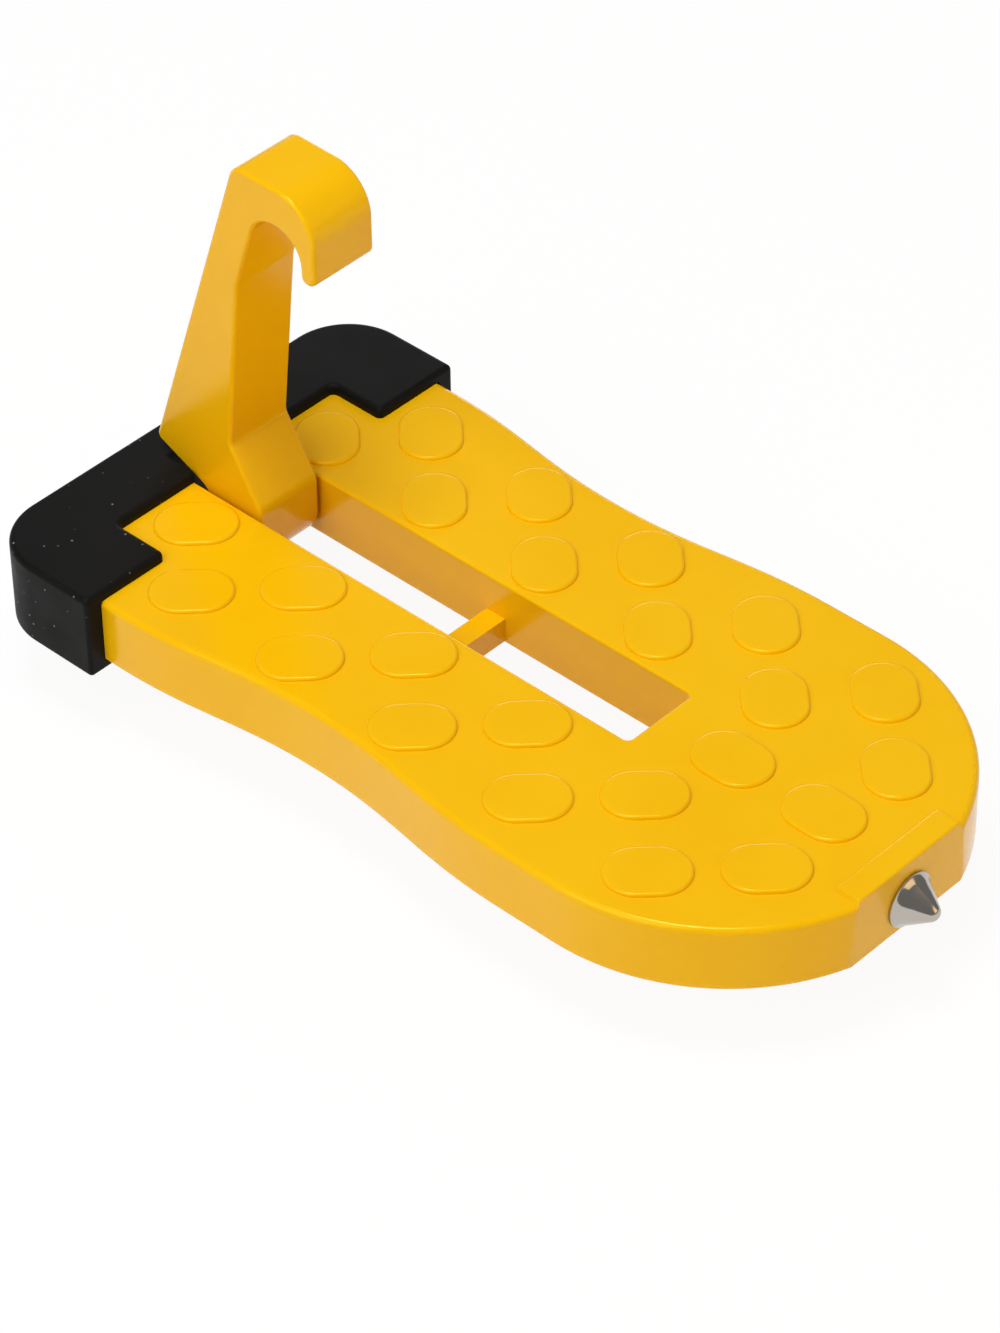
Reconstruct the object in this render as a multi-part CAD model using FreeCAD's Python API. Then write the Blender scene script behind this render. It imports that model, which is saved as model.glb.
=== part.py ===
"""Door latch step: cast foot plate, folding striker hook, rubber bumper and breaker tip.

Units are millimetres, +Z is up, the toe points to -Y and the hinge end to +Y.
The origin is the middle of the footprint, at the underside of the bumper.
Plan positions are given as d, the distance from the bumper's back towards the toe.
"""
import math
import os

import FreeCAD
import Part

# Bumper
BUMPER_WIDTH = 92.0
BUMPER_FLANGE = 2.0
BUMPER_SIDE_WALL = 3.5
BUMPER_BACK_WALL = 3.6
BUMPER_CORNER_R = 12.6
BUMPER_STRIP_D = 15.3
BUMPER_TAB_D = 27.2
BUMPER_TAB_X = 27.0
BUMPER_TAB_CORNER_R = 1.2
BUMPER_EDGE_R = 1.1
NOTCH_REAR_D = 7.8
NOTCH_SIDE_GAP = 0.05
TONGUE_SIDE_GAP = 0.1

# Foot plate
PLATE_THICKNESS = 13.4
PLATE_REAR_HALF = BUMPER_WIDTH / 2 - BUMPER_SIDE_WALL
PLATE_REAR_STRAIGHT_D = 30.0
WAIST_HALF = 38.4
WAIST_D = 75.0
TOE_HALF = 42.5
TOE_FLAT_D = 173.3
TOE_FLAT_HALF = 14.0
TOE_STRAIGHT = 12.5
PLATE_EDGE_R = 1.2
PLATE_BOTTOM_EDGE_R = 0.8
SLOT_HALF = 8.05
SLOT_TOE_BRIDGE = 54.4
SLOT_SOFT_D = 8.0
SLOT_REAR_OVERLAP = 4.0
SLOT_CORNER_R = 1.2
SLOT_EDGE_R = 0.6
CROSSBAR_D = (71.2, 75.6)
CROSSBAR_DROP = 7.8
CROSSBAR_ROOT = 1.0

# Raised grip pads on the tread
PAD_R = 5.86
PAD_HALF_STRAIGHT = 1.78
PAD_RAISE = 0.55
PAD_SLOPE = 0.45
PAD_TILT = 45.0
PAD_PITCH = 26.5
PAD_INNER_X = 16.45
PAD_INNER_FIRST_D = 24.2
PAD_INNER_TOE_MARGIN = 15.0
PAD_OUTER_X = 30.1
PAD_OUTER_FIRST_D = 36.9
PAD_OUTER_TOE_MARGIN = 29.0
PAD_MIDDLE_FROM_TOE = (38.2, 18.4)

# Raised bar along the toe
TOE_BAR_HALF = 12.6
TOE_BAR_ROOT = 1.6  # how far its front runs down into the flat of the toe
TOE_BAR_DEPTH = 5.0
TOE_BAR_RAISE = 1.0
TOE_BAR_END_SLOPE = 1.2
TOE_BAR_EDGE_R = 0.45
RAISED_ROOT = 0.5

# Hinge pin
PIVOT_D = 24.5
PIN_R = 2.5
PIN_END_INSET = 0.3
PIN_CHAMFER = 0.4
HOOK_BORE_CLEARANCE = 0.05

# Hook arm, drawn from the pivot: f towards the toe, u upwards
HOOK_SIDE_GAP = 0.85
HOOK_EDGE_R = 0.7
BARREL_R = 6.5
BARREL_FRONT_U = 7.4
BARREL_FRONT_R = 4.5
KNEE = (-0.6, 19.0)
KNEE_R = 2.5
ELBOW = (3.3, 55.5)
ELBOW_R = 4.0
MOUTH_R = 6.0
MOUTH_CENTRE = (13.2, 66.7)
FINGER_THICKNESS = 3.3
FINGER_DROP = 2.7
FINGER_TIP_R = 1.55
HEAD_R = 8.6
HEAD_FRONT_WALL = 7.5
HEAD_TOP_U = 80.6
HEAD_BACK_F = 3.5
HEAD_BACK_R = 3.2
HEEL = (-19.7, 11.3)
HEEL_R = 1.3
HEEL_ROOT_U = 5.43
HEEL_ROOT_R = 4.0

# Breaker tip
TIP_BELOW_MIDDLE = 0.6
TIP_COLLAR_R = 5.2
TIP_COLLAR_LENGTH = 0.7
TIP_BASE_R = 4.8
TIP_LENGTH = 6.4
TIP_NOSE_R = 1.8
TIP_SHANK_R = 3.0
TIP_SHANK_LENGTH = 11.0
TIP_SHANK_CHAMFER = 0.5
TIP_COLLAR_CHAMFER = 0.2

# How far a cutting tool runs past the face that it opens
CUT_PAST = 5.0

# Derived places in the part's frame
TOTAL_LENGTH = TOE_FLAT_D + TIP_LENGTH
PLATE_BOTTOM_Z = BUMPER_FLANGE
PLATE_TOP_Z = PLATE_BOTTOM_Z + PLATE_THICKNESS
BUMPER_TOP_Z = PLATE_TOP_Z + BUMPER_FLANGE
PIVOT_Z = PLATE_BOTTOM_Z + PLATE_THICKNESS / 2
TIP_Z = PIVOT_Z - TIP_BELOW_MIDDLE
TOE_CENTRE_D = TOE_FLAT_D - math.sqrt(TOE_HALF ** 2 - TOE_FLAT_HALF ** 2)
TOE_SHOULDER_D = TOE_CENTRE_D - TOE_STRAIGHT
SLOT_END_D = TOE_FLAT_D - SLOT_TOE_BRIDGE
TOE_BAR_BACK_D = TOE_FLAT_D - TOE_BAR_DEPTH
PIN_HALF_LENGTH = PLATE_REAR_HALF - PIN_END_INSET
HOOK_WIDTH = 2 * (SLOT_HALF - HOOK_SIDE_GAP)
NOTCH_HALF = SLOT_HALF + NOTCH_SIDE_GAP
TONGUE_HALF = SLOT_HALF - TONGUE_SIDE_GAP


def vec(x, y, z):
    """Return a point or direction."""
    return FreeCAD.Vector(x, y, z)


def y_of(d):
    """Return the Y of a distance d from the bumper's back."""
    return TOTAL_LENGTH / 2 - d


def plan_point(x, d, z):
    """Return the point at plan position x, d and height z."""
    return vec(x, y_of(d), z)


def block(x0, x1, d0, d1, z0, z1):
    """Return a box between two plan positions and two heights."""
    return Part.makeBox(x1 - x0, d1 - d0, z1 - z0, plan_point(x0, d1, z0))


def rounded_wire(corners, to_point):
    """Return a closed wire through corners (a, b, radius), each rounded tangentially.

    to_point turns the two drawing coordinates into a 3-D point.
    """
    count = len(corners)
    ends = []
    for i, (a, b, radius) in enumerate(corners):
        pa, pb, _ = corners[i - 1]
        na, nb, _ = corners[(i + 1) % count]
        back = FreeCAD.Vector(pa - a, pb - b, 0).normalize()
        on = FreeCAD.Vector(na - a, nb - b, 0).normalize()
        if radius <= 0:
            ends.append(((a, b), None, (a, b)))
            continue
        half = back.getAngle(on) / 2
        reach = radius / math.tan(half)
        mid_dir = (back + on).normalize()
        mid_len = radius / math.sin(half) - radius
        ends.append((
            (a + back.x * reach, b + back.y * reach),
            (a + mid_dir.x * mid_len, b + mid_dir.y * mid_len),
            (a + on.x * reach, b + on.y * reach),
        ))
    edges = []
    for i, (start, middle, finish) in enumerate(ends):
        if middle is not None:
            edges.append(Part.Arc(to_point(*start), to_point(*middle), to_point(*finish)).toShape())
        next_start = ends[(i + 1) % count][0]
        if math.dist(finish, next_start) > 1e-4:
            edges.append(Part.makeLine(to_point(*finish), to_point(*next_start)))
    return Part.Wire(edges)


def prism(wire, direction):
    """Return the solid swept from a flat closed wire."""
    return Part.Face(wire).extrude(direction)


def edges_at_height(shape, z, keep=None):
    """Return the level edges of shape at height z that keep accepts."""
    found = []
    for edge in shape.Edges:
        box = edge.BoundBox
        level = abs(box.ZMin - z) < 1e-5 and abs(box.ZMax - z) < 1e-5
        if level and (keep is None or keep(box)):
            found.append(edge)
    return found


def side_curve(sign, z):
    """Return the edges of one side, from the rear corner along the waist to the toe arc."""
    rear, waist, toe = sign * PLATE_REAR_HALF, sign * WAIST_HALF, sign * TOE_HALF
    edges = []
    for (xa, da), (xb, db) in (
        ((rear, PLATE_REAR_STRAIGHT_D), (waist, WAIST_D)),
        ((waist, WAIST_D), (toe, TOE_SHOULDER_D)),
    ):
        pull = 0.42 * (db - da)
        curve = Part.BezierCurve()
        curve.setPoles([
            plan_point(xa, da, z), plan_point(xa, da + pull, z),
            plan_point(xb, db - pull, z), plan_point(xb, db, z),
        ])
        edges.append(curve.toShape())
    return edges


def plate_outline(z):
    """Return the plate's outer outline: wide rear, waist, round toe with a flat face."""
    rear_d = BUMPER_BACK_WALL
    corner = BUMPER_CORNER_R - BUMPER_SIDE_WALL
    bend = corner * (1 - math.sqrt(0.5))
    edges = [Part.makeLine(
        plan_point(-(PLATE_REAR_HALF - corner), rear_d, z), plan_point(PLATE_REAR_HALF - corner, rear_d, z))]
    for sign in (1, -1):
        side = sign * PLATE_REAR_HALF
        edges.append(Part.Arc(
            plan_point(side - sign * corner, rear_d, z),
            plan_point(side - sign * bend, rear_d + bend, z),
            plan_point(side, rear_d + corner, z)).toShape())
        edges.append(Part.makeLine(
            plan_point(side, rear_d + corner, z), plan_point(side, PLATE_REAR_STRAIGHT_D, z)))
        edges.extend(side_curve(sign, z))
        edges.append(Part.makeLine(
            plan_point(sign * TOE_HALF, TOE_SHOULDER_D, z), plan_point(sign * TOE_HALF, TOE_CENTRE_D, z)))
        edges.append(Part.Arc(
            plan_point(sign * TOE_HALF, TOE_CENTRE_D, z),
            plan_point(sign * TOE_HALF * math.cos(0.6), TOE_CENTRE_D + TOE_HALF * math.sin(0.6), z),
            plan_point(sign * TOE_FLAT_HALF, TOE_FLAT_D, z)).toShape())
    edges.append(Part.makeLine(
        plan_point(TOE_FLAT_HALF, TOE_FLAT_D, z), plan_point(-TOE_FLAT_HALF, TOE_FLAT_D, z)))
    return Part.Wire(Part.__sortEdges__(edges))


def grip_pad(x, d, tilt):
    """Return one raised obround pad with a sloped rim, its long axis turned by tilt from the Y axis."""
    r, s = PAD_R, PAD_HALF_STRAIGHT
    base = PLATE_TOP_Z - RAISED_ROOT
    wire = Part.Wire([
        Part.makeLine(vec(r, -s, base), vec(r, s, base)),
        Part.Arc(vec(r, s, base), vec(0, s + r, base), vec(-r, s, base)).toShape(),
        Part.makeLine(vec(-r, s, base), vec(-r, -s, base)),
        Part.Arc(vec(-r, -s, base), vec(0, -s - r, base), vec(r, -s, base)).toShape(),
    ])
    pad = prism(wire, vec(0, 0, RAISED_ROOT + PAD_RAISE))
    pad = pad.makeChamfer(PAD_SLOPE, edges_at_height(pad, PLATE_TOP_Z + PAD_RAISE))
    pad.rotate(vec(0, 0, 0), vec(0, 0, 1), tilt)
    pad.translate(plan_point(x, d, 0))
    return pad


def pad_places():
    """Return x, d and tilt for every pad, in two staggered columns a side and a middle row."""
    places = [(0.0, TOE_FLAT_D - back, 0.0) for back in PAD_MIDDLE_FROM_TOE]
    for x, first_d, margin in (
        (PAD_INNER_X, PAD_INNER_FIRST_D, PAD_INNER_TOE_MARGIN),
        (PAD_OUTER_X, PAD_OUTER_FIRST_D, PAD_OUTER_TOE_MARGIN),
    ):
        count = 1 + int((TOE_FLAT_D - margin - first_d) / PAD_PITCH)
        for i in range(count):
            for sign in (1, -1):
                places.append((sign * x, first_d + i * PAD_PITCH, -sign * PAD_TILT))
    return places


def toe_bar():
    """Return the raised bar along the toe, with sloping ends and soft edges."""
    low, high = PLATE_TOP_Z - TOE_BAR_ROOT, PLATE_TOP_Z + TOE_BAR_RAISE
    long_half, short_half = TOE_BAR_HALF + TOE_BAR_END_SLOPE, TOE_BAR_HALF
    wire = Part.makePolygon([
        plan_point(-long_half, TOE_BAR_BACK_D, low), plan_point(long_half, TOE_BAR_BACK_D, low),
        plan_point(short_half, TOE_BAR_BACK_D, high), plan_point(-short_half, TOE_BAR_BACK_D, high),
        plan_point(-long_half, TOE_BAR_BACK_D, low)])
    bar = prism(wire, vec(0, -TOE_BAR_DEPTH, 0))
    return bar.makeFillet(TOE_BAR_EDGE_R, edges_at_height(bar, high))


def make_plate():
    """Return the foot plate: a fork with a long slot, a crossbar, pads, toe bar and bores."""
    plate = prism(plate_outline(PLATE_BOTTOM_Z), vec(0, 0, PLATE_THICKNESS))
    plate = plate.makeFillet(PLATE_EDGE_R, edges_at_height(plate, PLATE_TOP_Z))
    plate = plate.makeFillet(PLATE_BOTTOM_EDGE_R, edges_at_height(plate, PLATE_BOTTOM_Z))

    slot_wire = rounded_wire(
        [(-SLOT_HALF, SLOT_SOFT_D, SLOT_CORNER_R), (SLOT_HALF, SLOT_SOFT_D, SLOT_CORNER_R),
         (SLOT_HALF, SLOT_END_D, SLOT_CORNER_R), (-SLOT_HALF, SLOT_END_D, SLOT_CORNER_R)],
        lambda x, d: plan_point(x, d, PLATE_BOTTOM_Z - CUT_PAST))
    plate = plate.cut(prism(slot_wire, vec(0, 0, PLATE_THICKNESS + 2 * CUT_PAST))).Solids[0]
    for z in (PLATE_TOP_Z, PLATE_BOTTOM_Z):
        plate = plate.makeFillet(SLOT_EDGE_R, edges_at_height(plate, z, slot_side))
    plate = plate.cut(block(
        -SLOT_HALF, SLOT_HALF, -CUT_PAST, SLOT_SOFT_D + SLOT_REAR_OVERLAP,
        PLATE_BOTTOM_Z - CUT_PAST, PLATE_TOP_Z + CUT_PAST))
    plate = plate.fuse(block(
        -SLOT_HALF - CROSSBAR_ROOT, SLOT_HALF + CROSSBAR_ROOT, CROSSBAR_D[0], CROSSBAR_D[1],
        PLATE_BOTTOM_Z + SLOT_EDGE_R, PLATE_TOP_Z - CROSSBAR_DROP))

    raised = [grip_pad(*place) for place in pad_places()] + [toe_bar()]
    plate = plate.fuse(raised)

    pin_bore = Part.makeCylinder(
        PIN_R, BUMPER_WIDTH, plan_point(-BUMPER_WIDTH / 2, PIVOT_D, PIVOT_Z), vec(1, 0, 0))
    tip_bore = Part.makeCylinder(
        TIP_SHANK_R, TIP_SHANK_LENGTH + CUT_PAST,
        plan_point(0, TOE_FLAT_D - TIP_SHANK_LENGTH, TIP_Z), vec(0, -1, 0))
    return plate.cut([pin_bore, tip_bore]).removeSplitter()


def slot_side(box):
    """Accept the slot's long edges and its end."""
    return box.XMin > -SLOT_HALF - 0.1 and box.XMax < SLOT_HALF + 0.1 and box.YMin > y_of(SLOT_END_D) - 0.1


def hook_corners():
    """Return the hook's profile corners (f, u, radius), starting below the pivot.

    The arm's front leans from the elbow to run tangent into the mouth's round.
    """
    mf, mu = MOUTH_CENTRE
    ef, eu = ELBOW
    round_r = MOUTH_R - 0.01
    toward = math.atan2(mu - eu, mf - ef)
    lean = toward + math.asin(MOUTH_R / math.hypot(mf - ef, mu - eu))
    mouth_top = mu + MOUTH_R
    mouth_left = ef + (mouth_top - eu) / math.tan(lean)
    finger_in = mf + MOUTH_R
    nose = finger_in + FINGER_THICKNESS
    finger_end = mu - FINGER_DROP
    return [
        (-BARREL_R, -BARREL_R, BARREL_R - 0.01),
        (BARREL_R, -BARREL_R, BARREL_R - 0.01),
        (BARREL_R, BARREL_FRONT_U, BARREL_FRONT_R),
        (KNEE[0], KNEE[1], KNEE_R),
        (ef, eu, ELBOW_R),
        (mouth_left, mouth_top, round_r),
        (finger_in, mouth_top, round_r),
        (finger_in, finger_end, FINGER_TIP_R),
        (nose, finger_end, FINGER_TIP_R),
        (nose, mouth_top + HEAD_FRONT_WALL, HEAD_R),
        (HEAD_BACK_F, HEAD_TOP_U, HEAD_BACK_R),
        (HEEL[0], HEEL[1], HEEL_R),
        (-BARREL_R, HEEL_ROOT_U, HEEL_ROOT_R),
    ]


def make_hook():
    """Return the hook arm with its hinge barrel bore and soft edges, standing up."""
    wire = rounded_wire(
        hook_corners(), lambda f, u: vec(-HOOK_WIDTH / 2, y_of(PIVOT_D + f), PIVOT_Z + u))
    hook = prism(wire, vec(HOOK_WIDTH, 0, 0))
    rim = [e for e in hook.Edges if abs(e.BoundBox.XMax - e.BoundBox.XMin) < 1e-6]
    hook = hook.makeFillet(HOOK_EDGE_R, rim)
    bore = Part.makeCylinder(
        PIN_R + HOOK_BORE_CLEARANCE, HOOK_WIDTH + 2 * CUT_PAST,
        plan_point(-HOOK_WIDTH / 2 - CUT_PAST, PIVOT_D, PIVOT_Z), vec(1, 0, 0))
    return hook.cut(bore)


def make_pin():
    """Return the hinge pin that is pressed into both prongs."""
    pin = Part.makeCylinder(
        PIN_R, 2 * PIN_HALF_LENGTH, plan_point(-PIN_HALF_LENGTH, PIVOT_D, PIVOT_Z), vec(1, 0, 0))
    rims = [e for e in pin.Edges if abs(e.BoundBox.XMax - e.BoundBox.XMin) < 1e-6]
    return pin.makeChamfer(PIN_CHAMFER, rims)


def make_bumper():
    """Return the rubber bumper: a channel over the rear edge with corner tabs and a hook notch."""
    half, corner, tab_r = BUMPER_WIDTH / 2, BUMPER_CORNER_R, BUMPER_TAB_CORNER_R
    wire = rounded_wire(
        [(-half, 0, corner), (half, 0, corner), (half, BUMPER_TAB_D, 0.8),
         (BUMPER_TAB_X, BUMPER_TAB_D, tab_r), (BUMPER_TAB_X, BUMPER_STRIP_D, tab_r),
         (-BUMPER_TAB_X, BUMPER_STRIP_D, tab_r), (-BUMPER_TAB_X, BUMPER_TAB_D, tab_r),
         (-half, BUMPER_TAB_D, 0.8)],
        lambda x, d: plan_point(x, d, 0))
    outer = prism(wire, vec(0, 0, BUMPER_TOP_Z))
    for z in (BUMPER_TOP_Z, 0.0):
        outer = outer.makeFillet(BUMPER_EDGE_R, edges_at_height(outer, z))

    inner_half, inner_r = PLATE_REAR_HALF, corner - BUMPER_SIDE_WALL
    pocket_wire = rounded_wire(
        [(-inner_half, BUMPER_BACK_WALL, inner_r), (inner_half, BUMPER_BACK_WALL, inner_r),
         (inner_half, BUMPER_TAB_D + CUT_PAST, 0), (-inner_half, BUMPER_TAB_D + CUT_PAST, 0)],
        lambda x, d: plan_point(x, d, PLATE_BOTTOM_Z))
    bumper = outer.cut(prism(pocket_wire, vec(0, 0, PLATE_THICKNESS)))

    tongue = block(
        -TONGUE_HALF, TONGUE_HALF, BUMPER_BACK_WALL / 2, NOTCH_REAR_D,
        BUMPER_FLANGE / 2, BUMPER_TOP_Z - BUMPER_FLANGE / 2)
    notch = block(
        -NOTCH_HALF, NOTCH_HALF, NOTCH_REAR_D, BUMPER_TAB_D, -CUT_PAST, BUMPER_TOP_Z + CUT_PAST)
    return bumper.fuse(tongue).cut(notch).removeSplitter()


def make_tip():
    """Return the turned breaker tip: blunt cone, thin collar and the shank set in the toe."""
    blunt = math.atan2(TIP_BASE_R - TIP_NOSE_R, TIP_LENGTH - TIP_COLLAR_LENGTH - TIP_NOSE_R)
    nose_x = TIP_NOSE_R * math.cos(blunt)
    nose_y = TIP_LENGTH - TIP_NOSE_R + TIP_NOSE_R * math.sin(blunt)
    mid = (math.pi / 2 + blunt) / 2
    nose_mid = (TIP_NOSE_R * math.cos(mid), TIP_LENGTH - TIP_NOSE_R + TIP_NOSE_R * math.sin(mid))

    def at(r, out):
        return vec(r, y_of(TOE_FLAT_D) - out, TIP_Z)

    shank_end_r = TIP_SHANK_R - TIP_SHANK_CHAMFER
    shank_full = TIP_SHANK_LENGTH - TIP_SHANK_CHAMFER
    profile = Part.Wire([
        Part.makeLine(at(0, -TIP_SHANK_LENGTH), at(shank_end_r, -TIP_SHANK_LENGTH)),
        Part.makeLine(at(shank_end_r, -TIP_SHANK_LENGTH), at(TIP_SHANK_R, -shank_full)),
        Part.makeLine(at(TIP_SHANK_R, -shank_full), at(TIP_SHANK_R, 0)),
        Part.makeLine(at(TIP_SHANK_R, 0), at(TIP_COLLAR_R, 0)),
        Part.makeLine(at(TIP_COLLAR_R, 0), at(TIP_COLLAR_R, TIP_COLLAR_LENGTH - TIP_COLLAR_CHAMFER)),
        Part.makeLine(
            at(TIP_COLLAR_R, TIP_COLLAR_LENGTH - TIP_COLLAR_CHAMFER), at(TIP_BASE_R, TIP_COLLAR_LENGTH)),
        Part.makeLine(at(TIP_BASE_R, TIP_COLLAR_LENGTH), at(nose_x, nose_y)),
        Part.Arc(at(nose_x, nose_y), at(*nose_mid), at(0, TIP_LENGTH)).toShape(),
        Part.makeLine(at(0, TIP_LENGTH), at(0, -TIP_SHANK_LENGTH)),
    ])
    return Part.Face(profile).revolve(at(0, 0), vec(0, 1, 0), 360)


def main():
    """Build every piece and write one STEP file for each."""
    os.makedirs("parts", exist_ok=True)
    pieces = {
        "step_plate": make_plate(),
        "hook_arm": make_hook(),
        "hinge_pin": make_pin(),
        "rubber_bumper": make_bumper(),
        "breaker_tip": make_tip(),
    }
    for name, shape in pieces.items():
        solid = shape.Solids[0] if len(shape.Solids) == 1 else shape
        solid.exportStep("parts/" + name + ".step")


main()
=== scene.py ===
"""Dresses the door latch step: coated casting, folding hook, rubber bumper and breaker tip.

Lengths in the fields below are millimetres in the step's own frame, unless a comment says
otherwise; meshes are in metres. d is the distance from the bumper's back towards the toe, as
in the solid model.
"""
import logging
import math
from dataclasses import dataclass
from enum import Enum
from typing import Any

import bmesh
import bpy
from mathutils import Matrix, Vector


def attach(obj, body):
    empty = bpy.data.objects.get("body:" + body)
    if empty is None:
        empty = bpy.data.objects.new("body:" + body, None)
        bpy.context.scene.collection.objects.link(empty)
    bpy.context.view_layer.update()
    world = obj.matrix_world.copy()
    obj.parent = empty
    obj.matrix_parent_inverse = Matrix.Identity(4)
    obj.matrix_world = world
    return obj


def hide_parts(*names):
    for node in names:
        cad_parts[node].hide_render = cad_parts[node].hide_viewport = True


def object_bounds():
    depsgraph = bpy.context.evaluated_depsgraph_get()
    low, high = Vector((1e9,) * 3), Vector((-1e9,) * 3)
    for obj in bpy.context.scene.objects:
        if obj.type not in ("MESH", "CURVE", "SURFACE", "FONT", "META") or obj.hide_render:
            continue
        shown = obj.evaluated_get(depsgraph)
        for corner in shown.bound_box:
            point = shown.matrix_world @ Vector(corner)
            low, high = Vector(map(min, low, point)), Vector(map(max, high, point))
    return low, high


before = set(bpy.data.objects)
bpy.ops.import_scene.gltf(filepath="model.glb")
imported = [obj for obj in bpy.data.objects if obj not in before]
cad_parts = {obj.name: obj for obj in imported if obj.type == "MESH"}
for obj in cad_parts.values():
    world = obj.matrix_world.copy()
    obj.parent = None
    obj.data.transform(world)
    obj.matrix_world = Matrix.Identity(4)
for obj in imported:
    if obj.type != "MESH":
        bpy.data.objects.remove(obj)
CAD_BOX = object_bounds()

LOG = logging.getLogger("door_latch_step")
MM = 0.001
BACK_Y = CAD_BOX[1][1] / MM  # the bumper's back, from which d is measured
WELD = 0.002  # corners of a solid's mesh that are closer than this become one
FLAT_WEIGHT = 90  # how strongly large faces lead the shading; 50 is even
NOISE_BODY = (0.3, 0.7)  # the range that a noise texture mostly keeps to
WAVE_RING = math.tau / 20.0  # the ring pitch, in metres, of a wave texture with scale 1
MIX_FIRST, MIX_SECOND, MIX_RESULT = 6, 7, 2  # the colour sockets of a Mix node
WHITE = "FFFFFF"


class Body(Enum):
    """The two rigid bodies of the step."""

    STEP = "step"
    HOOK = "hook"


class Slot(Enum):
    """The record's finishes that the pieces made here carry."""

    COAT = "yellow_coat"
    RUBBER = "black_rubber"
    TIP = "polished_steel"


def linear(hex_colour: str) -> tuple[float, float, float, float]:
    """Turn an sRGB hex colour into linear values.

    Args:
        hex_colour: Six hex digits, with or without a leading hash.

    Returns:
        Red, green, blue and an alpha of one.
    """
    digits = hex_colour.lstrip("#")
    parts = [int(digits[i:i + 2], 16) / 255 for i in (0, 2, 4)]
    red, green, blue = [
        p / 12.92 if p <= 0.04045 else ((p + 0.055) / 1.055) ** 2.4 for p in parts
    ]
    return red, green, blue, 1.0


def per_metre(size_mm: float) -> float:
    """Return the texture scale that gives features of this size in millimetres."""
    return 1.0 / (size_mm * MM)


def plug(tree: bpy.types.NodeTree, socket: bpy.types.NodeSocket, value: Any) -> None:
    """Fill an input socket.

    Args:
        tree: The tree that the socket is in.
        socket: The input.
        value: A fixed value, or the output socket that feeds the input.
    """
    if isinstance(value, bpy.types.NodeSocket):
        tree.links.new(value, socket)
    else:
        socket.default_value = value


def add_node(
    tree: bpy.types.NodeTree, kind: str, inputs: dict[Any, Any] | None = None, **settings: Any
) -> bpy.types.Node:
    """Add one node with its settings and inputs.

    Args:
        tree: The tree that gets the node.
        kind: The node's type name.
        inputs: Input socket name or index to a fixed value or to the socket that feeds it.
        **settings: Properties of the node.

    Returns:
        The new node.
    """
    node = tree.nodes.new(kind)
    for key, value in settings.items():
        setattr(node, key, value)
    for key, value in (inputs or {}).items():
        plug(tree, node.inputs[key], value)
    return node


def maths(tree: bpy.types.NodeTree, operation: str, *terms: Any) -> bpy.types.NodeSocket:
    """Combine terms with a maths node.

    Args:
        tree: The tree that gets the node.
        operation: What the node does.
        *terms: Numbers or sockets.

    Returns:
        The socket that holds the outcome.
    """
    node = add_node(tree, "ShaderNodeMath", dict(enumerate(terms)), operation=operation)
    return node.outputs["Value"]


@dataclass(frozen=True)
class Canvas:
    """A node material that is being made."""

    material: bpy.types.Material
    tree: bpy.types.NodeTree
    shader: bpy.types.Node
    where: bpy.types.NodeSocket  # Object coordinates, in metres

    @classmethod
    def start(cls, name: str) -> "Canvas":
        """Return a new material of this name with a shader, an output and coordinates."""
        material = bpy.data.materials.new(name)
        material.use_nodes = True
        tree = material.node_tree
        tree.nodes.clear()
        shader = add_node(tree, "ShaderNodeBsdfPrincipled")
        add_node(tree, "ShaderNodeOutputMaterial", {"Surface": shader.outputs["BSDF"]})
        where = add_node(tree, "ShaderNodeTexCoord").outputs["Object"]
        return cls(material, tree, shader, where)

    def feed(self, name: str, value: Any) -> None:
        """Fill an input of the shader with a fixed value or from another node's socket."""
        plug(self.tree, self.shader.inputs[name], value)

    def noise(
        self, size_mm: float, detail: float, roughness: float = 0.5
    ) -> bpy.types.NodeSocket:
        """Return a noise with features of this size."""
        node = add_node(self.tree, "ShaderNodeTexNoise", {
            "Vector": self.where, "Scale": per_metre(size_mm),
            "Detail": detail, "Roughness": roughness})
        return node.outputs["Fac"]

    def remap(
        self, value: bpy.types.NodeSocket, source: tuple[float, float],
        target: tuple[float, float] = (0.0, 1.0),
    ) -> bpy.types.NodeSocket:
        """Return a value moved from one range to another and held inside it."""
        node = add_node(self.tree, "ShaderNodeMapRange", {
            "Value": value, "From Min": source[0], "From Max": source[1],
            "To Min": target[0], "To Max": target[1]})
        return node.outputs["Result"]

    def mix(self, factor: bpy.types.NodeSocket, first: Any, second: Any) -> bpy.types.NodeSocket:
        """Return a colour between two colours, each a fixed one or a socket."""
        node = add_node(self.tree, "ShaderNodeMix", {
            "Factor": factor, MIX_FIRST: first, MIX_SECOND: second}, data_type="RGBA")
        return node.outputs[MIX_RESULT]

    def relief(self, height: bpy.types.NodeSocket, height_mm: float, strength: float) -> None:
        """Make the surface uneven by a height that is this many millimetres at most."""
        node = add_node(self.tree, "ShaderNodeBump", {
            "Height": height, "Distance": height_mm * MM, "Strength": strength})
        self.feed("Normal", node.outputs["Normal"])


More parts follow.
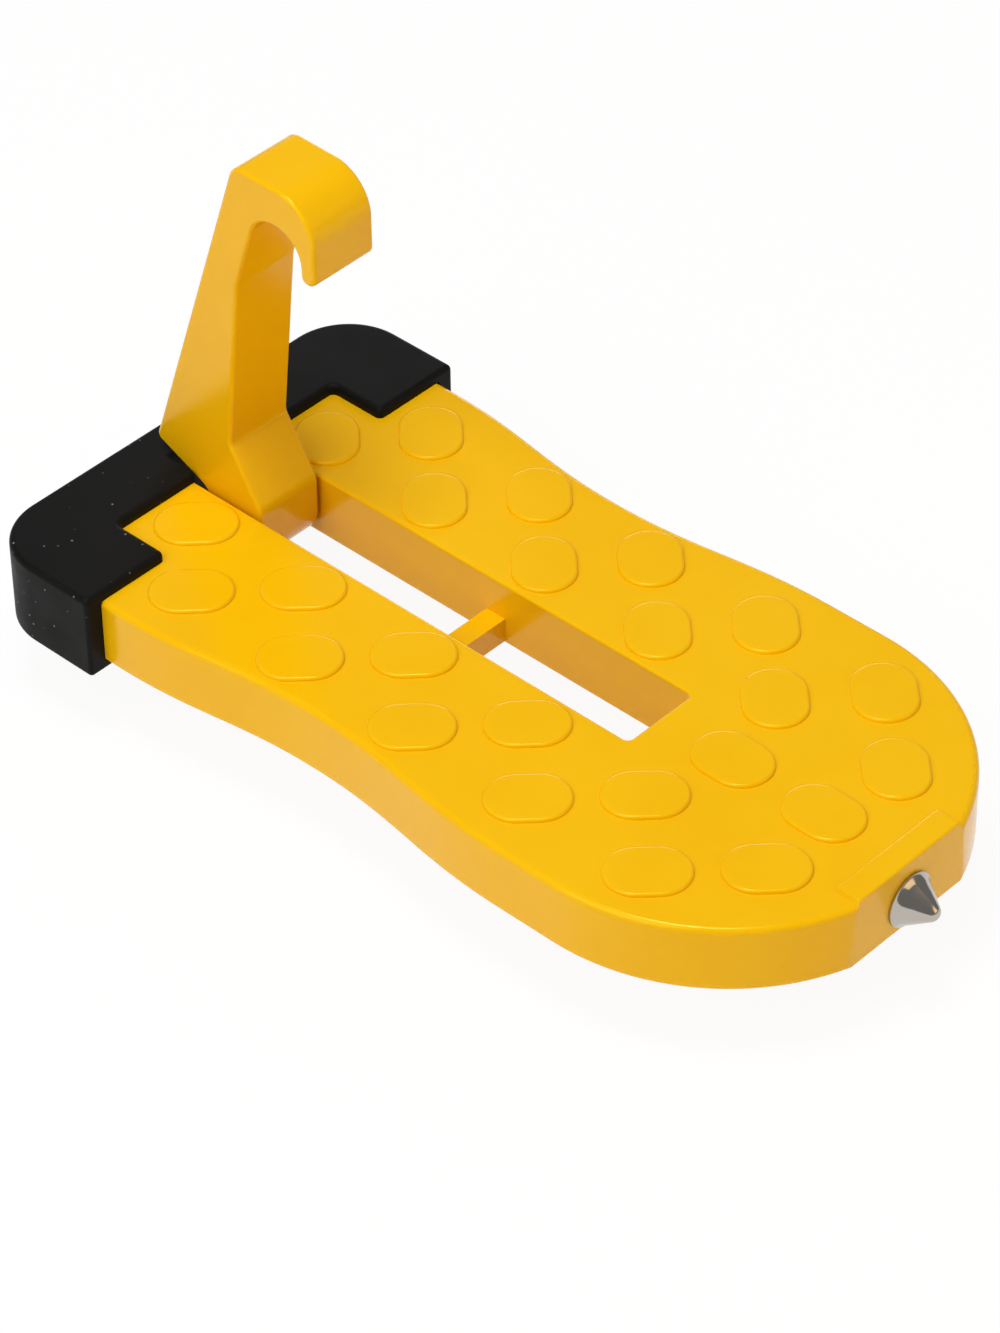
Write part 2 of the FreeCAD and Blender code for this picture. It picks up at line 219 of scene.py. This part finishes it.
@dataclass(frozen=True)
class PowderCoat:
    """Baked polyester powder on a sand-blasted aluminium casting."""

    colour: str = "F8C107"
    deep_colour: str = "F6BD05"
    cloud_mm: float = 26.0
    cloud_span: tuple[float, float] = (0.36, 0.62)
    peel_mm: float = 1.1
    peel_height_mm: float = 0.012
    peel_strength: float = 0.55
    roughness: float = 0.18
    roughness_spread: tuple[float, float] = (-0.05, 0.06)
    specular: float = 0.60
    sheen_colour: str = "FFDA70"

    def make(self) -> bpy.types.Material:
        """Return the coat: an even warm yellow with a fine orange-peel skin and a sheen."""
        # Powder melts and levels in the oven, so the eye sees one flat colour with a faint
        # orange peel that breaks up reflections, and slightly deeper colour where it ran.
        coat = Canvas.start("polyester_powder_coat_yellow")
        cloud = coat.noise(self.cloud_mm, detail=3.0, roughness=0.55)
        depth = coat.remap(cloud, self.cloud_span)
        coat.feed("Base Color", coat.mix(depth, linear(self.deep_colour), linear(self.colour)))
        # The peel is about half a millimetre across; it is drawn twice as coarse, to show.
        peel = coat.noise(self.peel_mm, detail=2.0)
        coat.relief(peel, self.peel_height_mm, self.peel_strength)
        low, high = self.roughness_spread
        coat.feed("Roughness", coat.remap(
            cloud, NOISE_BODY, (self.roughness + low, self.roughness + high)))
        coat.feed("Specular IOR Level", self.specular)
        # The step's edge highlights are pale yellow and not white, so the sheen is tinted.
        coat.feed("Specular Tint", linear(self.sheen_colour))
        return coat.material


@dataclass(frozen=True)
class MouldedRubber:
    """Natural rubber filled with carbon black, moulded in a blasted tool."""

    colour: str = "0C0C0C"
    worn_colour: str = "131313"
    mottle_mm: float = 9.0
    grain_mm: float = 0.9
    grain_height_mm: float = 0.02
    grain_strength: float = 0.5
    dust_colour: str = "8C8A86"
    dust_pitch_mm: float = 2.3
    dust_edge: tuple[float, float] = (0.05, 0.11)  # a speck's solid and faded radius, in pitches
    dust_patch: tuple[float, float] = (0.38, 0.5)  # the mottle at which dust starts and is full
    dust_cover: float = 0.9
    dust_x: tuple[float, float] = (20.0, -30.0)  # where dust starts and is full
    roughness: float = 0.50
    roughness_spread: tuple[float, float] = (-0.06, 0.1)
    specular: float = 0.1

    def make(self) -> bpy.types.Material:
        """Return the rubber: near black, matt, with a fine grain and scattered dust."""
        # The blasted tool leaves a fine matt grain, and the tacky skin picks up pale specks
        # of dust, most on the side towards -X.
        rubber = Canvas.start("moulded_black_rubber")
        mottle = rubber.noise(self.mottle_mm, detail=4.0)
        base = rubber.mix(mottle, linear(self.colour), linear(self.worn_colour))
        dust = self.dust(rubber, mottle)
        rubber.feed("Base Color", rubber.mix(dust, base, linear(self.dust_colour)))
        grain = rubber.noise(self.grain_mm, detail=3.0, roughness=0.6)
        rubber.relief(grain, self.grain_height_mm, self.grain_strength)
        low, high = self.roughness_spread
        rubber.feed("Roughness", rubber.remap(
            mottle, NOISE_BODY, (self.roughness + low, self.roughness + high)))
        rubber.feed("Specular IOR Level", self.specular)
        return rubber.material

    def dust(self, rubber: Canvas, mottle: bpy.types.NodeSocket) -> bpy.types.NodeSocket:
        """Scatter the dust.

        Args:
            rubber: The material that gets it.
            mottle: The noise that gathers the specks in patches.

        Returns:
            The socket that is above zero where there is a speck.
        """
        specks = add_node(rubber.tree, "ShaderNodeTexVoronoi", {
            "Vector": rubber.where, "Scale": per_metre(self.dust_pitch_mm), "Randomness": 1.0},
            feature="F1")
        dots = rubber.remap(specks.outputs["Distance"], self.dust_edge, (1.0, 0.0))
        patch = rubber.remap(mottle, self.dust_patch, (0.0, self.dust_cover))
        spot = add_node(rubber.tree, "ShaderNodeSeparateXYZ", {"Vector": rubber.where})
        start, full = self.dust_x
        side = rubber.remap(spot.outputs["X"], (start * MM, full * MM))
        amount = maths(rubber.tree, "MULTIPLY", patch, side)
        return maths(rubber.tree, "MULTIPLY", dots, amount)


@dataclass(frozen=True)
class TurnedSteel:
    """Hardened steel, turned on a lathe and then polished or ground."""

    name: str
    colour: str
    ring_mm: float
    ring_height_mm: float
    axis: str
    roughness: float
    ring_strength: float = 0.4
    ring_waver: float = 0.6
    smear_mm: float = 2.5
    roughness_factors: tuple[float, float] = (0.7, 1.5)

    def make(self) -> bpy.types.Material:
        """Return the steel: bright metal with faint tool marks round its axis."""
        # The lathe leaves rings round the axis; polishing softens them to a drawn-out sparkle.
        steel = Canvas.start(self.name)
        rings = add_node(steel.tree, "ShaderNodeTexWave", {
            "Vector": steel.where, "Scale": per_metre(self.ring_mm) * WAVE_RING,
            "Distortion": self.ring_waver, "Detail": 2.0},
            wave_type="BANDS", bands_direction=self.axis, wave_profile="SIN")
        steel.relief(rings.outputs["Fac"], self.ring_height_mm, self.ring_strength)
        smear = steel.noise(self.smear_mm, detail=3.0)
        low, high = self.roughness_factors
        steel.feed("Roughness", steel.remap(
            smear, NOISE_BODY, (self.roughness * low, self.roughness * high)))
        steel.feed("Base Color", linear(self.colour))
        steel.feed("Metallic", 1.0)
        return steel.material


PIN_STEEL = TurnedSteel(
    name="ground_steel_pin", colour="9A9A98", ring_mm=3.14, ring_height_mm=0.004,
    axis="X", roughness=0.3)
TIP_STEEL = TurnedSteel(
    name="polished_hardened_steel", colour="B8B2AA", ring_mm=3.77, ring_height_mm=0.02,
    axis="Y", roughness=0.13)


def to_plain_mesh(piece: bpy.types.Object) -> bpy.types.Object:
    """Turn a piece with modifiers into a plain mesh in place.

    Args:
        piece: The piece whose modifiers are applied and removed.

    Returns:
        The same piece.
    """
    evaluated = piece.evaluated_get(bpy.context.evaluated_depsgraph_get())
    mesh = bpy.data.meshes.new_from_object(evaluated)
    piece.modifiers.clear()
    piece.data = mesh
    return piece


def add_object(name: str, mesh: bpy.types.Mesh) -> bpy.types.Object:
    """Link a new object at the origin and return it."""
    piece = bpy.data.objects.new(name, mesh)
    bpy.context.scene.collection.objects.link(piece)
    return piece


def soften(piece: bpy.types.Object, crease_deg: float) -> bpy.types.Object:
    """Shade a piece so that its rounds look smooth and its flats stay flat.

    Args:
        piece: The piece, a plain mesh.
        crease_deg: Edges sharper than this stay crisp.

    Returns:
        The same piece.
    """
    piece.data.shade_smooth()
    piece.data.set_sharp_from_angle(angle=math.radians(crease_deg))
    weighted = piece.modifiers.new("flats_stay_flat", "WEIGHTED_NORMAL")
    weighted.keep_sharp = True
    weighted.weight = FLAT_WEIGHT
    return to_plain_mesh(piece)


def smooth_piece(
    node: str, name: str, material: bpy.types.Material, crease_deg: float
) -> bpy.types.Object:
    """Make a soft-shaded piece of the same shape as a solid node.

    Args:
        node: The solid node.
        name: The new piece's name.
        material: Its finish.
        crease_deg: Edges sharper than this stay crisp.

    Returns:
        The piece, at the origin, with its rounds shaded smooth and its flats flat.
    """
    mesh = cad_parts[node].data.copy()
    if "custom_normal" in mesh.attributes:
        mesh.attributes.remove(mesh.attributes["custom_normal"])
    shape = bmesh.new()
    shape.from_mesh(mesh)
    bmesh.ops.remove_doubles(shape, verts=shape.verts, dist=WELD * MM)
    shape.to_mesh(mesh)
    shape.free()
    mesh.materials.clear()
    mesh.materials.append(material)
    mesh.polygons.foreach_set("material_index", [0] * len(mesh.polygons))
    return soften(add_object(name, mesh), crease_deg)


@dataclass(frozen=True)
class PadColumn:
    """A column of pads on each side of the middle."""

    x: float
    first_d: float
    count: int


@dataclass
class GripPads:
    """The raised obround pads of the tread, in staggered columns."""

    coat: bpy.types.Material
    radius: float = 5.88
    half_straight: float = 1.78
    raise_height: float = 0.7
    rim: float = 0.6
    sunk: float = 0.3
    sides: int = 60
    bends: int = 5
    crease_deg: float = 40.0
    tilt_deg: float = 45.0
    pitch: float = 26.5
    columns: tuple[PadColumn, ...] = (PadColumn(16.45, 24.2, 6), PadColumn(30.1, 36.9, 5))
    middle_d: tuple[float, ...] = (135.1, 154.9)
    tread_z: float = 15.4

    def places(self) -> list[tuple[float, float, float]]:
        """Return x, d and turn in degrees for every pad."""
        found = [(0.0, d, 0.0) for d in self.middle_d]
        for column in self.columns:
            for i in range(column.count):
                d = column.first_d + i * self.pitch
                found += [(side * column.x, d, -side * self.tilt_deg) for side in (1, -1)]
        return found

    def seeds(self) -> bpy.types.Mesh:
        """Return a mesh with one point per pad that carries its turn."""
        places = self.places()
        points = [(x * MM, (BACK_Y - d) * MM, self.tread_z * MM) for x, d, _ in places]
        mesh = bpy.data.meshes.new("grip_pads")
        mesh.from_pydata(points, [], [])
        turn = mesh.attributes.new("turn", "FLOAT", "POINT")
        turn.data.foreach_set("value", [math.radians(degrees) for _, _, degrees in places])
        return mesh

    def rounded(self, tree: bpy.types.NodeTree, given: Any) -> bpy.types.NodeSocket:
        """Raise a round pad with a rounded rim from a disc.

        Args:
            tree: The tree that gets the nodes.
            given: The sockets of the tree's group input.

        Returns:
            The socket that holds the pad.
        """
        disc = add_node(tree, "GeometryNodeMeshCircle", {
            "Vertices": self.sides, "Radius": given["Pad Radius"]}, fill_type="NGON")
        # Half a side's turn leaves no corner on the line where the pad is drawn apart.
        blank = add_node(tree, "GeometryNodeTransform", {
            "Geometry": disc.outputs["Mesh"], "Translation": (0.0, 0.0, -self.sunk * MM),
            "Rotation": (0.0, 0.0, math.pi / self.sides)})
        wall = maths(tree, "SUBTRACT", given["Raise"], given["Rim"])
        rise = maths(tree, "ADD", wall, self.sunk * MM)
        inner = maths(tree, "SUBTRACT", given["Pad Radius"], given["Rim"])
        shape, reach = blank.outputs["Geometry"], given["Pad Radius"]
        top: bpy.types.NodeSocket | None = None
        for bend in range(self.bends + 1):
            angle = math.pi / 2 * bend / self.bends
            if bend:
                last = math.pi / 2 * (bend - 1) / self.bends
                rise = maths(tree, "MULTIPLY", given["Rim"], math.sin(angle) - math.sin(last))
            pushed = add_node(tree, "GeometryNodeExtrudeMesh", {
                "Mesh": shape, "Offset": (0.0, 0.0, 1.0), "Offset Scale": rise,
                "Individual": False}, mode="FACES")
            if top is not None:
                plug(tree, pushed.inputs["Selection"], top)
            shape, top = pushed.outputs["Mesh"], pushed.outputs["Top"]
            if bend:
                across = maths(tree, "MULTIPLY", given["Rim"], math.cos(angle))
                here = maths(tree, "ADD", inner, across)
                drawn = add_node(tree, "GeometryNodeScaleElements", {
                    "Geometry": shape, "Selection": top,
                    "Scale": maths(tree, "DIVIDE", here, reach)}, domain="FACE")
                shape, reach = drawn.outputs["Geometry"], here
        return shape

    def tree(self) -> bpy.types.NodeTree:
        """Return the tree that sets a rounded obround pad on every point."""
        tree = bpy.data.node_groups.new("rounded_grip_pads", "GeometryNodeTree")
        face = tree.interface
        face.new_socket("Points", in_out="INPUT", socket_type="NodeSocketGeometry")
        for name in ("Pad Radius", "Half Straight", "Raise", "Rim"):
            face.new_socket(name, in_out="INPUT", socket_type="NodeSocketFloat")
        face.new_socket("Finish", in_out="INPUT", socket_type="NodeSocketMaterial")
        face.new_socket("Pads", in_out="OUTPUT", socket_type="NodeSocketGeometry")
        given = add_node(tree, "NodeGroupInput").outputs
        shape = self.rounded(tree, given)
        # The two halves of the round pad move apart, which makes it an obround.
        place = add_node(tree, "GeometryNodeInputPosition")
        parts = add_node(tree, "ShaderNodeSeparateXYZ", {"Vector": place.outputs["Position"]})
        half = maths(tree, "SIGN", parts.outputs["Y"])
        shift = maths(tree, "MULTIPLY", half, given["Half Straight"])
        apart = add_node(tree, "ShaderNodeCombineXYZ", {"Y": shift})
        pad = add_node(tree, "GeometryNodeSetPosition", {
            "Geometry": shape, "Offset": apart.outputs["Vector"]})
        soft = add_node(tree, "GeometryNodeSetShadeSmooth", {
            "Geometry": pad.outputs["Geometry"]})
        turn = add_node(
            tree, "GeometryNodeInputNamedAttribute", {"Name": "turn"}, data_type="FLOAT")
        aim = add_node(tree, "ShaderNodeCombineXYZ", {"Z": turn.outputs["Attribute"]})
        spin = add_node(tree, "FunctionNodeEulerToRotation", {"Euler": aim.outputs["Vector"]})
        many = add_node(tree, "GeometryNodeInstanceOnPoints", {
            "Points": given["Points"], "Instance": soft.outputs["Geometry"],
            "Rotation": spin.outputs["Rotation"]})
        real = add_node(tree, "GeometryNodeRealizeInstances", {
            "Geometry": many.outputs["Instances"]})
        coated = add_node(tree, "GeometryNodeSetMaterial", {
            "Geometry": real.outputs["Geometry"], "Material": given["Finish"]})
        add_node(tree, "NodeGroupOutput", {"Pads": coated.outputs["Geometry"]})
        return tree

    def build(self) -> bpy.types.Object:
        """Return the pads as one plain mesh on the tread."""
        piece = add_object("grip_pads", self.seeds())
        tree = self.tree()
        modifier = piece.modifiers.new("pads", "NODES")
        modifier.node_group = tree
        sizes = {"Pad Radius": self.radius * MM, "Half Straight": self.half_straight * MM,
                 "Raise": self.raise_height * MM, "Rim": self.rim * MM, "Finish": self.coat}
        for item in tree.interface.items_tree:
            if item.item_type == "SOCKET" and item.in_out == "INPUT" and item.name in sizes:
                modifier[item.identifier] = sizes[item.name]
        return soften(to_plain_mesh(piece), self.crease_deg)


@dataclass
class FootPlate:
    """The coated casting that carries the foot, with its pads, pin and bumper."""

    coat: bpy.types.Material
    rubber: bpy.types.Material
    pin_steel: bpy.types.Material
    crease_deg: float = 38.0

    def dress(self) -> list[bpy.types.Object]:
        """Return the plate, its bumper and its pads, riding on the step.

        The pin stays the solid's own node, and only gets its steel.
        """
        plate = smooth_piece("step_plate", "foot_plate", self.coat, self.crease_deg)
        bumper = smooth_piece("rubber_bumper", "bumper_boot", self.rubber, self.crease_deg)
        pads = GripPads(self.coat).build()
        for piece, node, slot in (
            (plate, "step_plate", Slot.COAT),
            (bumper, "rubber_bumper", Slot.RUBBER),
            (pads, "", Slot.COAT),
        ):
            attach(piece, Body.STEP.value)
            if node:
                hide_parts(node)
        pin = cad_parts["hinge_pin"]
        pin.data.materials.clear()
        pin.data.materials.append(self.pin_steel)
        return [plate, bumper, pads]


@dataclass
class HookArm:
    """The coated hook that goes over the door striker."""

    coat: bpy.types.Material
    crease_deg: float = 38.0

    def dress(self) -> list[bpy.types.Object]:
        """Return the hook arm, riding on its own body."""
        arm = smooth_piece("hook_arm", "striker_hook", self.coat, self.crease_deg)
        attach(arm, Body.HOOK.value)
        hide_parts("hook_arm")
        return [arm]


@dataclass
class BreakerTip:
    """The polished cone in the toe face."""

    steel: bpy.types.Material
    crease_deg: float = 30.0

    def dress(self) -> list[bpy.types.Object]:
        """Return the tip, riding on the step."""
        tip = smooth_piece("breaker_tip", "breaker_cone", self.steel, self.crease_deg)
        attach(tip, Body.STEP.value)
        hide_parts("breaker_tip")
        return [tip]


@dataclass(frozen=True)
class Softbox:
    """A square lamp that faces the origin: place and side in metres, power in watts."""

    place: tuple[float, float, float]
    side: float
    power: float
    colour: str = WHITE


class LampSide(Enum):
    """The softboxes of the studio."""

    OVERHEAD = Softbox((-0.12, 0.02, 1.00), 0.36, 4.7)
    LEFT = Softbox((-0.80, 0.05, 0.70), 0.8, 5.0, "FFFAF2")
    FRONT = Softbox((0.35, -1.00, 0.55), 0.7, 2.2, "FFD9A0")
    BACK = Softbox((0.95, 0.88, 0.30), 0.5, 1.8)


@dataclass
class Studio:
    """The pale floor, the soft light and the camera."""

    floor_z: float = -12.5
    floor_half: float = 40000.0
    paper_colour: str = "F4EBDC"
    shadow_colour: str = "4C4C4C"
    floor_glow: float = 0.93
    ambient: float = 0.24
    eye: tuple[float, float, float] = (-483.498, -451.079, 575.475)
    azimuth_deg: float = -46.4855
    tilt_deg: float = 49.4666
    roll_deg: float = -0.7638
    lens: float = 136.6224
    sensor: float = 36.0
    clip_m: tuple[float, float] = (0.05, 20.0)

    def floor_material(self) -> bpy.types.Material:
        """Return paper that is white to the eye and in reflections, with a faint shadow."""
        material = bpy.data.materials.new("white_paper_sweep")
        material.use_nodes = True
        tree = material.node_tree
        tree.nodes.clear()
        paper = add_node(tree, "ShaderNodeBsdfDiffuse", {"Color": linear(self.paper_colour)})
        dim = add_node(tree, "ShaderNodeBsdfDiffuse", {"Color": linear(self.shadow_colour)})
        glow = add_node(tree, "ShaderNodeEmission", {
            "Color": linear(WHITE), "Strength": self.floor_glow})
        seen = add_node(tree, "ShaderNodeAddShader", {
            0: dim.outputs["BSDF"], 1: glow.outputs["Emission"]})
        ray = add_node(tree, "ShaderNodeLightPath").outputs
        direct = maths(tree, "MAXIMUM", ray["Is Camera Ray"], ray["Is Glossy Ray"])
        clear = maths(tree, "MAXIMUM", direct, ray["Is Transmission Ray"])
        mixed = add_node(tree, "ShaderNodeMixShader", {
            0: clear, 1: paper.outputs["BSDF"], 2: seen.outputs["Shader"]})
        add_node(tree, "ShaderNodeOutputMaterial", {"Surface": mixed.outputs["Shader"]})
        return material

    def floor(self) -> bpy.types.Object:
        """Return the floor that the step is seen against."""
        half, z = self.floor_half * MM, self.floor_z * MM
        corners = [(-half, -half, z), (half, -half, z), (half, half, z), (-half, half, z)]
        mesh = bpy.data.meshes.new("floor")
        mesh.from_pydata(corners, [], [(0, 1, 2, 3)])
        mesh.materials.append(self.floor_material())
        piece = add_object("floor", mesh)
        return piece

    def world(self) -> None:
        """Make the room: even soft light from every side."""
        world = bpy.data.worlds.new("grey_room")
        world.use_nodes = True
        tree = world.node_tree
        tree.nodes.clear()
        soft = add_node(tree, "ShaderNodeBackground", {
            "Color": linear(WHITE), "Strength": self.ambient})
        add_node(tree, "ShaderNodeOutputWorld", {"Surface": soft.outputs["Background"]})
        bpy.context.scene.world = world

    def lamps(self) -> None:
        """Hang the softboxes."""
        for lamp_side in LampSide:
            box = lamp_side.value
            data = bpy.data.lights.new("softbox_" + lamp_side.name.lower(), "AREA")
            data.shape, data.size = "SQUARE", box.side
            data.energy, data.color = box.power, linear(box.colour)[:3]
            lamp = bpy.data.objects.new(data.name, data)
            lamp.location = box.place
            lamp.rotation_euler = Vector(box.place).to_track_quat("Z", "Y").to_euler()
            bpy.context.scene.collection.objects.link(lamp)

    def camera(self) -> bpy.types.Object:
        """Return the camera, where the photograph was taken from."""
        turn = Matrix.Identity(4)
        for degrees, axis in (
            (self.azimuth_deg, "Z"), (self.tilt_deg, "X"), (self.roll_deg, "Z"),
        ):
            turn = turn @ Matrix.Rotation(math.radians(degrees), 4, axis)
        data = bpy.data.cameras.new("photo_camera")
        data.sensor_fit, data.sensor_width, data.lens = "AUTO", self.sensor, self.lens
        data.clip_start, data.clip_end = self.clip_m
        camera = bpy.data.objects.new("photo_camera", data)
        camera.matrix_world = Matrix.Translation(Vector(self.eye) * MM) @ turn
        bpy.context.scene.collection.objects.link(camera)
        bpy.context.scene.camera = camera
        return camera

    def build(self) -> None:
        """Set the floor, the light and the camera."""
        self.floor()
        self.world()
        self.lamps()
        self.camera()
        bpy.context.scene.view_settings.view_transform = "Standard"


def main() -> None:
    """Dress the step piece by piece, log each piece's faces and set the stage."""
    logging.basicConfig(level=logging.INFO, format="%(name)s: %(message)s")
    coat = PowderCoat().make()
    rubber = MouldedRubber().make()
    pin_steel, tip_steel = PIN_STEEL.make(), TIP_STEEL.make()
    for part in (FootPlate(coat, rubber, pin_steel), HookArm(coat), BreakerTip(tip_steel)):
        for piece in part.dress():
            LOG.info("%s has %d faces", piece.name, len(piece.data.polygons))
    Studio().build()


if __name__ == "__main__":
    main()
